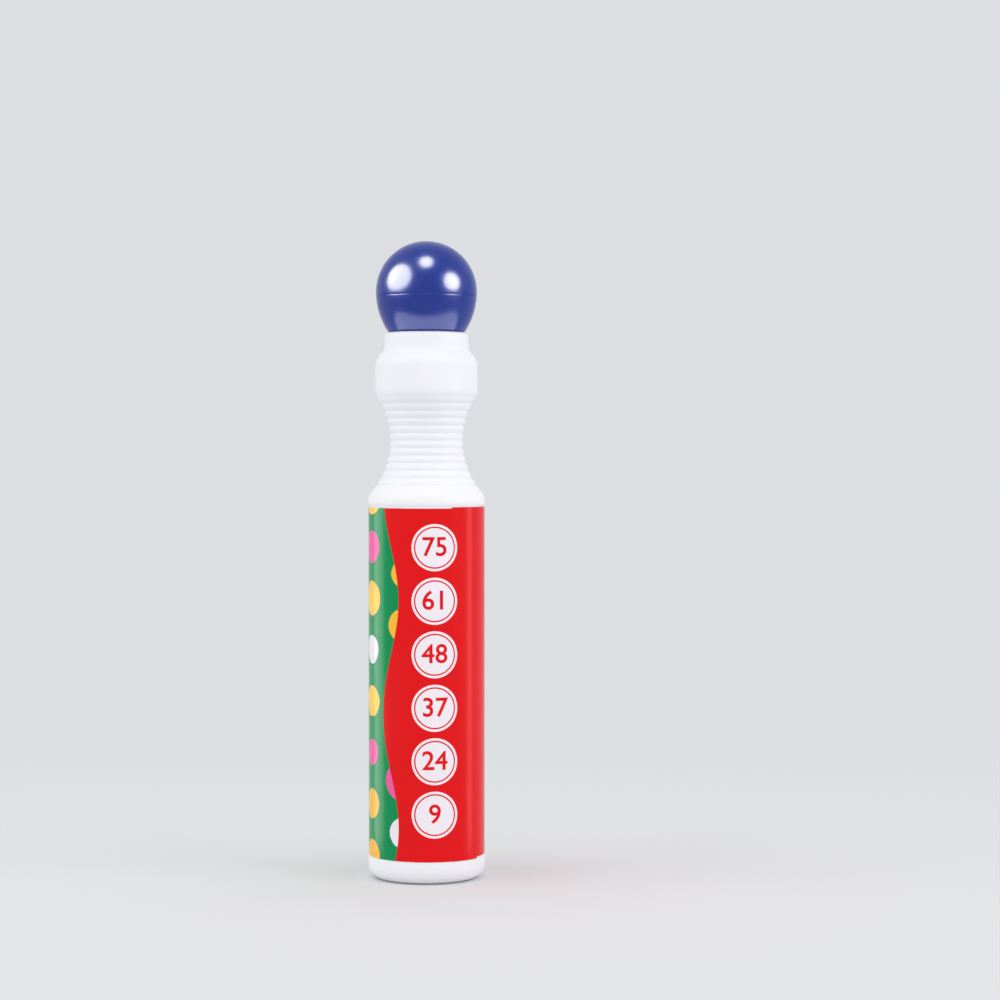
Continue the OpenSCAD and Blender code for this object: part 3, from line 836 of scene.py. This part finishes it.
class DAUBER_OT_label(Operator):
    """Wrap the printed label round the bottle, with its overlapping end"""

    bl_idname = "dauber.label"
    bl_label = "Label"

    def execute(self, context):
        size = context.scene.dauber.label
        full = math.tau + size.overlap
        section = self.section(size)
        bm = bmesh.new()
        verts, edges = outline_loop(bm, section)
        start = Matrix.Rotation(FRONT + size.overlap_start, 3, "Z")
        bmesh.ops.rotate(bm, verts=verts, cent=(0, 0, 0), matrix=start)
        bmesh.ops.spin(
            bm, geom=verts + edges, cent=(0, 0, 0), axis=(0, 0, 1), angle=full, steps=LABEL_STEPS,
            dvec=(0, 0, -size.drop / LABEL_STEPS),
        )
        fill_ends(bm, len(section))
        for index, vert in enumerate(bm.verts):
            past = full * (index // len(section)) / LABEL_STEPS - (math.tau - size.ramp)
            vert.co.xy *= 1 + ease(past / size.ramp) * size.thickness / vert.co.xy.length
        bmesh.ops.recalc_face_normals(bm, faces=bm.faces)
        for face in bm.faces:
            outwards = face.normal.xy.dot(face.calc_center_median().xy.normalized())
            face.material_index = 0 if outwards > FACING else 1
        finishes = [label_print(size), cut_paper(size)]
        finish_piece(bm, "label_wrap", "bottle", finishes, ["label"])
        return {"FINISHED"}

    def section(self, size):
        """Cross-section of the label where it starts."""
        inner_r = LABEL_OUT_R - size.thickness
        low_z = LABEL_LOW_Z + size.drop
        return [(inner_r, low_z), (LABEL_OUT_R, low_z), (LABEL_OUT_R, LABEL_TOP_Z), (inner_r, LABEL_TOP_Z)]


class DAUBER_OT_figures(Operator):
    """Print the figures in the discs, bent round the label"""

    bl_idname = "dauber.figures"
    bl_label = "Figures"

    def execute(self, context):
        size = context.scene.dauber.label
        bm = self.column(context, size)
        embolden(bm, size.figure_bold)
        slice_upright(bm, FIGURE_STRIP)
        raised = bmesh.ops.extrude_face_region(bm, geom=bm.faces[:])["geom"]
        upper = [part for part in raised if isinstance(part, bmesh.types.BMVert)]
        bmesh.ops.translate(bm, verts=upper, vec=(0, 0, size.figure_depth))
        for vert in bm.verts:
            turn = FRONT + vert.co.x / LABEL_OUT_R
            radius = LABEL_OUT_R - size.figure_depth / 2 + vert.co.z
            vert.co = Vector((radius * math.cos(turn), radius * math.sin(turn), vert.co.y))
        close_up(bm)
        finish_piece(bm, "label_figures", "bottle", [printing_ink(size)])
        return {"FINISHED"}

    def column(self, context, size):
        """All the figures, flat, each where its disc is on the unrolled label."""
        bm = bmesh.new()
        for row, text in enumerate(FIGURES):
            figure_mesh = flat_figure(context, text, size.figure)
            first = len(bm.verts)
            bm.from_mesh(figure_mesh)
            bpy.data.meshes.remove(figure_mesh)
            bm.verts.ensure_lookup_table()
            lift = Vector((size.disc_side, size.disc_low + row * size.disc_pitch, 0))
            bmesh.ops.translate(bm, verts=bm.verts[first:], vec=lift)
        return bm


def flat_figure(context, text, height):
    """A flat mesh of a figure, centred on the origin."""
    curve = bpy.data.curves.new("figure", "FONT")
    curve.body = text
    curve.align_x = "CENTER"
    curve.align_y = "CENTER"
    curve.size = height
    curve.resolution_u = FIGURE_CURVE_STEPS
    drawn = bpy.data.objects.new("figure", curve)
    context.collection.objects.link(drawn)
    context.view_layer.update()
    mesh = bpy.data.meshes.new_from_object(drawn.evaluated_get(context.evaluated_depsgraph_get()))
    bpy.data.objects.remove(drawn)
    bpy.data.curves.remove(curve)
    return mesh


def embolden(bm, width):
    """Moves the outlines of flat figures outwards, with mitred corners."""
    bmesh.ops.remove_doubles(bm, verts=bm.verts, dist=MERGED)
    sides = {vert: [] for vert in bm.verts}
    for edge in bm.edges:
        if edge.is_boundary:
            loop = edge.link_loops[0]
            along = (loop.link_loop_next.vert.co - loop.vert.co).normalized()
            for vert in edge.verts:
                sides[vert].append(Vector((along.y, -along.x, 0)))
    for vert, (one, two) in sides.items():
        vert.co += (one + two) / (1 + one.dot(two)) * width


def slice_upright(bm, step):
    """Cuts flat figures into narrow upright strips, so that they can bend."""
    across = [vert.co.x for vert in bm.verts]
    strips = math.ceil((max(across) - min(across)) / step)
    for index in range(1, strips):
        bmesh.ops.bisect_plane(
            bm, geom=bm.verts[:] + bm.edges[:] + bm.faces[:], dist=ON_PLANE,
            plane_co=(min(across) + index * step, 0, 0), plane_no=(1, 0, 0),
        )


# Cap


def cap_levels(size):
    """Height of the ball's equator, radius of its rim, and the radius and axis of the arc between them."""
    equator_z = CAP_TOP_Z - CAP_R
    rim_r = size.bore_r + size.rim_wall
    inset = CAP_R - rim_r
    arc_r = ((equator_z - RIM_Z) ** 2 + inset ** 2) / (2 * inset)
    return equator_z, rim_r, arc_r, CAP_R - arc_r


class DAUBER_OT_cap(Operator):
    """Model the two shells of the ball cap"""

    bl_idname = "dauber.cap"
    bl_label = "Ball Cap"

    def execute(self, context):
        size = context.scene.dauber.cap
        finish = cap_plastic(size)
        for name, node, outline in (
            ("ball_dome", "cap_dome", self.dome(size)),
            ("ball_skirt", "cap_skirt", self.skirt(size)),
        ):
            bm = turned(outline)
            soften(bm, size.edge, segments=3)
            finish_piece(bm, name, "cap", [finish], [node])
        return {"FINISHED"}

    def dome(self, size):
        """Outline of the upper shell, with the ledge over the tongue."""
        equator_z = cap_levels(size)[0]
        foot = size.seam / 2 - size.seam_drop
        ledge = size.tongue_len + size.seam - size.seam_drop
        tongue_r = CAP_R - size.wall / 2
        inner_r = CAP_R - size.wall
        outer = arc(0, equator_z, CAP_R, math.degrees(math.asin(foot / CAP_R)), 90, steps=48)
        inner = arc(0, equator_z, inner_r, 90, math.degrees(math.asin(ledge / inner_r)), steps=32)
        return outer + inner + [(tongue_r, equator_z + ledge), (tongue_r, equator_z + foot)]

    def skirt(self, size):
        """Outline of the lower shell, from the rim up to the tongue and back down to the sleeve's seat."""
        equator_z, rim_r, arc_r, axis_r = cap_levels(size)
        rim_turn = -math.degrees(math.atan2(equator_z - RIM_Z, rim_r - axis_r))
        seam_z = equator_z - size.seam_drop
        seam_turn = -math.degrees(math.asin((size.seam_drop + size.seam / 2) / arc_r))
        tongue_r = CAP_R - size.wall / 2 - size.tongue_gap
        tongue_z = seam_z + size.tongue_len
        tongue = [(tongue_r, seam_z - size.seam / 2), (tongue_r, tongue_z), (CAP_R - size.wall, tongue_z)]
        pocket_turn = -math.degrees(math.acos((size.pocket_r - axis_r) / (arc_r - size.wall)))
        outer = arc(axis_r, equator_z, arc_r, rim_turn, seam_turn, steps=32)
        inner = arc(axis_r, equator_z, arc_r - size.wall, 0, pocket_turn, steps=20)
        floor_z = RIM_Z + size.rim_floor
        floor = [(size.pocket_r, floor_z), (size.bore_r, floor_z)]
        return [(size.bore_r, RIM_Z)] + outer + tongue + inner + floor


# Nib and valve

# Patches to the metre in the felt's uneven surface
FUZZ_SCALE = 2600

# Fibres: seed of their places, share of the nib's radius that they lie within, their slope off the dome,
# the shares of their length by which they are moved out and that is the least, the share of their radius
# that is left at the tip, and their sides
FIBRE_SEED = 11
FIBRE_COVER = 0.97
FIBRE_STEEPNESS = 0.45
FIBRE_OUT = 0.3
FIBRE_SHORTEST = 0.4
FIBRE_TIP = 0.3
FIBRE_SIDES = 4


class DAUBER_OT_nib(Operator):
    """Model the felt nib with its loose fibres"""

    bl_idname = "dauber.nib"
    bl_label = "Felt Nib"

    def execute(self, context):
        size = context.scene.dauber.nib
        dome_r = (size.radius ** 2 + size.dome_len ** 2) / (2 * size.dome_len)
        dome_turn = 90 - math.degrees(math.asin(size.radius / dome_r))
        step_z = NIB_LOW_Z + size.step_len
        side_z = NIB_TOP_Z - size.dome_len
        steps = 8
        foot = [(0, NIB_LOW_Z), (NIB_STEP_R, NIB_LOW_Z), (NIB_STEP_R, step_z)]
        side = [(size.radius, step_z + (side_z - step_z) * i / steps) for i in range(steps)]
        dome = arc(0, NIB_TOP_Z - dome_r, dome_r, dome_turn, 90, steps=30)
        bm = turned(foot + side + dome, NIB_TURN_STEPS)
        soften(bm, size.edge, segments=3)
        for vert in bm.verts:
            if vert.co.z > side_z:
                vert.co -= vert.normal * size.fuzz * (0.5 + 0.5 * noise.noise(vert.co * FUZZ_SCALE))
        self.fibres(bm, size, dome_r)
        piece = finish_piece(bm, "nib_pad", "nib", [inked_felt(size)], ["felt_nib"])
        return {"FINISHED"}

    def fibres(self, bm, size, dome_r):
        """Adds loose fibres that lie askew on the dome, within the nib's radius."""
        chance = random.Random(FIBRE_SEED)
        middle = Vector((0, 0, NIB_TOP_Z - dome_r))
        for _ in range(size.fibres):
            turn = chance.uniform(0, math.tau)
            out = size.radius * FIBRE_COVER * math.sqrt(chance.random())
            up = Vector((out * math.cos(turn), out * math.sin(turn), math.sqrt(dome_r ** 2 - out ** 2)))
            lean = Vector([chance.gauss(0, 1) for _ in range(3)])
            flat = (lean - lean.project(up)).normalized()
            way = (up.normalized() * FIBRE_STEEPNESS + flat).normalized()
            reach = size.fibre_len * chance.uniform(FIBRE_SHORTEST, 1)
            place = middle + up + way * reach * FIBRE_OUT
            ends = [place - way * reach / 2, place + way * reach / 2]
            if max(end.xy.length for end in ends) > size.radius:
                continue
            turned_to = way.to_track_quat("Z", "Y").to_matrix().to_4x4()
            bmesh.ops.create_cone(
                bm, cap_ends=True, segments=FIBRE_SIDES, radius1=size.fibre_r,
                radius2=size.fibre_r * FIBRE_TIP, depth=reach, matrix=Matrix.Translation(place) @ turned_to,
            )


class DAUBER_OT_spring(Operator):
    """Wind the valve's spring, at its length when the nib is at rest"""

    bl_idname = "dauber.spring"
    bl_label = "Valve Spring"

    def execute(self, context):
        size = context.scene.dauber.nib
        wire_r = size.wire / 2
        coil_r = SPRING_HIGH.x - wire_r
        low_z = SPRING_LOW.z + wire_r
        rise = SPRING_HIGH.z - SPRING_LOW.z - size.wire
        steps = round(COIL_STEPS * size.coils)
        bm = bmesh.new()
        upright = Matrix.Translation((coil_r, 0, low_z)) @ Matrix.Rotation(math.radians(90), 4, "X")
        wire = bmesh.ops.create_circle(bm, segments=WIRE_SIDES, radius=wire_r, matrix=upright)["verts"]
        bmesh.ops.spin(
            bm, geom=wire + bm.edges[:], cent=(0, 0, 0), axis=(0, 0, 1), angle=math.tau * size.coils,
            steps=steps, dvec=(0, 0, rise / steps),
        )
        fill_ends(bm, WIRE_SIDES)
        close_up(bm)
        piece = finish_piece(
            bm, "spring_wire", "bottle", [spring_steel(size)], ["valve_spring"]
        )
        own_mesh(piece)
        return {"FINISHED"}


class DAUBER_OT_fittings(Operator):
    """Give the neck, the valve, the seals and the ink their materials"""

    bl_idname = "dauber.fittings"
    bl_label = "Fittings"

    def execute(self, context):
        white = context.scene.dauber.bottle.white
        size = context.scene.dauber.nib
        neck = plastic("Neck White", white, drift=0.03, grain=1100.0, rough=(0.3, 0.4), depth=0.003 * MM)
        natural = plastic(
            "Valve Plastic", size.natural, drift=0.06, grain=1100.0, rough=(0.35, 0.5), depth=0.003 * MM
        )
        finishes = {
            "nib_housing": neck,
            "cap_sleeve": neck,
            "valve_cage": natural,
            "nib_carrier": natural,
            "valve_poppet": natural,
            "valve_seal": soft_material("Washer Rubber", size.rubber, grain=2500.0, depth=0.01 * MM),
            "cap_seal": soft_material("Seal Foam", size.foam, grain=3500.0, depth=0.04 * MM),
            "ink": ink_fluid(size),
        }
        for node, finish in finishes.items():
            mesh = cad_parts[node].data
            mesh.materials.clear()
            mesh.materials.append(finish)
        return {"FINISHED"}


# Stage

BALL = ("ball_dome", "ball_skirt")
PRINT = ("label_wrap", "label_figures")

# Lamps: places from the aim in lamp distances, sizes in metres, power in watts, and the pieces that a lamp
# shines on where it is there for their gloss alone
LAMPS = (
    dict(name="lamp_left", place=(-0.81, -0.32, 0.49), width=0.6, height=0.5, power=1),
    dict(name="lamp_right", place=(0.82, -0.44, 0.36), width=0.5, height=0.5, power=1.1),
    dict(name="lamp_top", place=(0, -0.33, 0.95), width=0.4, height=0.3, power=0.3),
    dict(name="glint_left", place=(-0.82, -0.28, 0.47), width=0.8, height=0.62, power=28, only_on=BALL),
    dict(name="glint_right", place=(0.84, -0.4, 0.37), width=0.48, height=0.42, power=14, only_on=BALL),
    dict(name="glint_top", place=(0, -0.355, 0.935), width=0.28, height=0.34, power=6.5, only_on=BALL),
    dict(name="strip_right", place=(0.074, -0.006, 0), width=0.011, height=0.6, power=0.055, only_on=PRINT),
    dict(name="strip_left", place=(-0.072, 0.011, 0), width=0.026, height=0.6, power=0.17, only_on=PRINT),
)


class DAUBER_OT_stage(Operator):
    """Set up the floor, the soft lamps, the backdrop and the camera"""

    bl_idname = "dauber.stage"
    bl_label = "Stage"

    def execute(self, context):
        size = context.scene.dauber.stage
        self.floor(context, size)
        self.backdrop(context, size)
        for lamp in LAMPS:
            self.softbox(context, size, **lamp)
        self.sheet(context, size)
        self.camera(context, size)
        context.scene.view_settings.view_transform = "Standard"
        return {"FINISHED"}

    def floor(self, context, size):
        """A wide floor that keeps the dauber's shadow."""
        bm = bmesh.new()
        bmesh.ops.create_grid(bm, x_segments=2, y_segments=2, size=size.floor_size)
        bmesh.ops.translate(bm, verts=bm.verts, vec=(0, 0, -size.floor_drop))
        mesh = bpy.data.meshes.new("floor")
        bm.to_mesh(mesh)
        bm.free()
        mesh.materials.append(pale_floor(size))
        floor = bpy.data.objects.new("floor", mesh)
        context.collection.objects.link(floor)

    def backdrop(self, context, size):
        """A pale backdrop for the camera and for reflections, and an even light on everything else."""
        world = context.scene.world or bpy.data.worlds.new("Studio")
        context.scene.world = world
        world.use_nodes = True
        kit = NodeKit(world.node_tree)
        path = kit.add("LightPath").outputs
        seen = kit.calc("MAXIMUM", path["Is Camera Ray"], path["Is Transmission Ray"])
        seen = kit.calc("MAXIMUM", seen, path["Is Glossy Ray"])
        white = {"Color": (1, 1, 1, 1), "Strength": size.ambient}
        light = kit.add("Background", white).outputs["Background"]
        pale = kit.add("Background", {"Color": size.backdrop, "Strength": 1.0}).outputs["Background"]
        mixed = kit.add("MixShader", {0: seen, 1: light, 2: pale}).outputs["Shader"]
        kit.feed(kit.add("OutputWorld").inputs["Surface"], mixed)

    def softbox(self, context, size, name, place, width, height, power, only_on=()):
        """A lamp at a place round the dauber that points at the aim."""
        lamp = self.lamp(context, name, width, height, power, only_on)
        way = Vector(place)
        lamp.location = Vector((0, 0, size.aim_z)) + way * size.lamp_distance
        lamp.rotation_euler = way.to_track_quat("Z", "Y").to_euler()

    def sheet(self, context, size):
        """A bright sheet that lies round the dauber's foot and shows only in the ball's underside."""
        lamp = self.lamp(context, "sheet", size.sheet_w, size.sheet_len, size.sheet_power, BALL)
        lamp.location = (0, size.sheet_len / 2 - size.sheet_front, size.sheet_z)
        lamp.rotation_euler = (math.pi, 0, 0)

    def lamp(self, context, name, width, height, power, only_on):
        """An area lamp that the camera doesn't see, and that can be for the gloss of some pieces alone."""
        data = bpy.data.lights.new(name, "AREA")
        data.shape = "ELLIPSE" if only_on else "RECTANGLE"
        data.size = width
        data.size_y = height
        data.energy = power
        lamp = bpy.data.objects.new(name, data)
        context.collection.objects.link(lamp)
        lamp.visible_camera = False
        if only_on:
            lamp.visible_diffuse = False
            lit = bpy.data.collections.new(name)
            for piece in only_on:
                lit.objects.link(bpy.data.objects[piece])
            lamp.light_linking.receiver_collection = lit
        return lamp

    def camera(self, context, size):
        """A long lens at the height of the dauber's waist, which looks a little down."""
        data = bpy.data.cameras.new("camera")
        data.lens = size.lens
        camera = bpy.data.objects.new("camera", data)
        camera.location = (size.camera_side, -size.camera_back, size.camera_z)
        camera.rotation_euler = (math.radians(90) - size.pitch, 0, 0)
        context.collection.objects.link(camera)
        context.scene.camera = camera


class DAUBER_PT_panel(Panel):
    """Lists the dauber's pieces and its stage, with their settings"""

    bl_idname = "DAUBER_PT_panel"
    bl_label = "Dauber"
    bl_space_type = "VIEW_3D"
    bl_region_type = "UI"
    bl_category = "Dauber"

    def draw(self, context):
        settings = context.scene.dauber
        for operators, group in STEPS:
            box = self.layout.box()
            for operator in operators:
                box.operator(operator.bl_idname)
            sizes = getattr(settings, group)
            for name in sizes.bl_rna.properties.keys():
                if name not in ("rna_type", "name"):
                    box.prop(sizes, name)


# Operators in the order that they run in, with the settings that the panel lists under them
STEPS = (
    ((DAUBER_OT_bottle,), "bottle"),
    ((DAUBER_OT_label, DAUBER_OT_figures), "label"),
    ((DAUBER_OT_cap,), "cap"),
    ((DAUBER_OT_nib, DAUBER_OT_spring, DAUBER_OT_fittings), "nib"),
    ((DAUBER_OT_stage,), "stage"),
)
OPERATORS = tuple(operator for operators, _ in STEPS for operator in operators)
GROUPS = (BottleSizes, LabelSizes, CapSizes, NibSizes, StageSizes, DauberSettings)
CLASSES = GROUPS + OPERATORS + (DAUBER_PT_panel,)


def register():
    """Adds the classes and the dauber's settings to Blender."""
    for item in CLASSES:
        bpy.utils.register_class(item)
    bpy.types.Scene.dauber = PointerProperty(type=DauberSettings)


def unregister():
    """Takes them out again."""
    del bpy.types.Scene.dauber
    for item in reversed(CLASSES):
        bpy.utils.unregister_class(item)


def main():
    """Makes the dauber and its stage."""
    register()
    for operator in OPERATORS:
        group, name = operator.bl_idname.split(".")
        getattr(getattr(bpy.ops, group), name)()


if __name__ == "__main__":
    main()
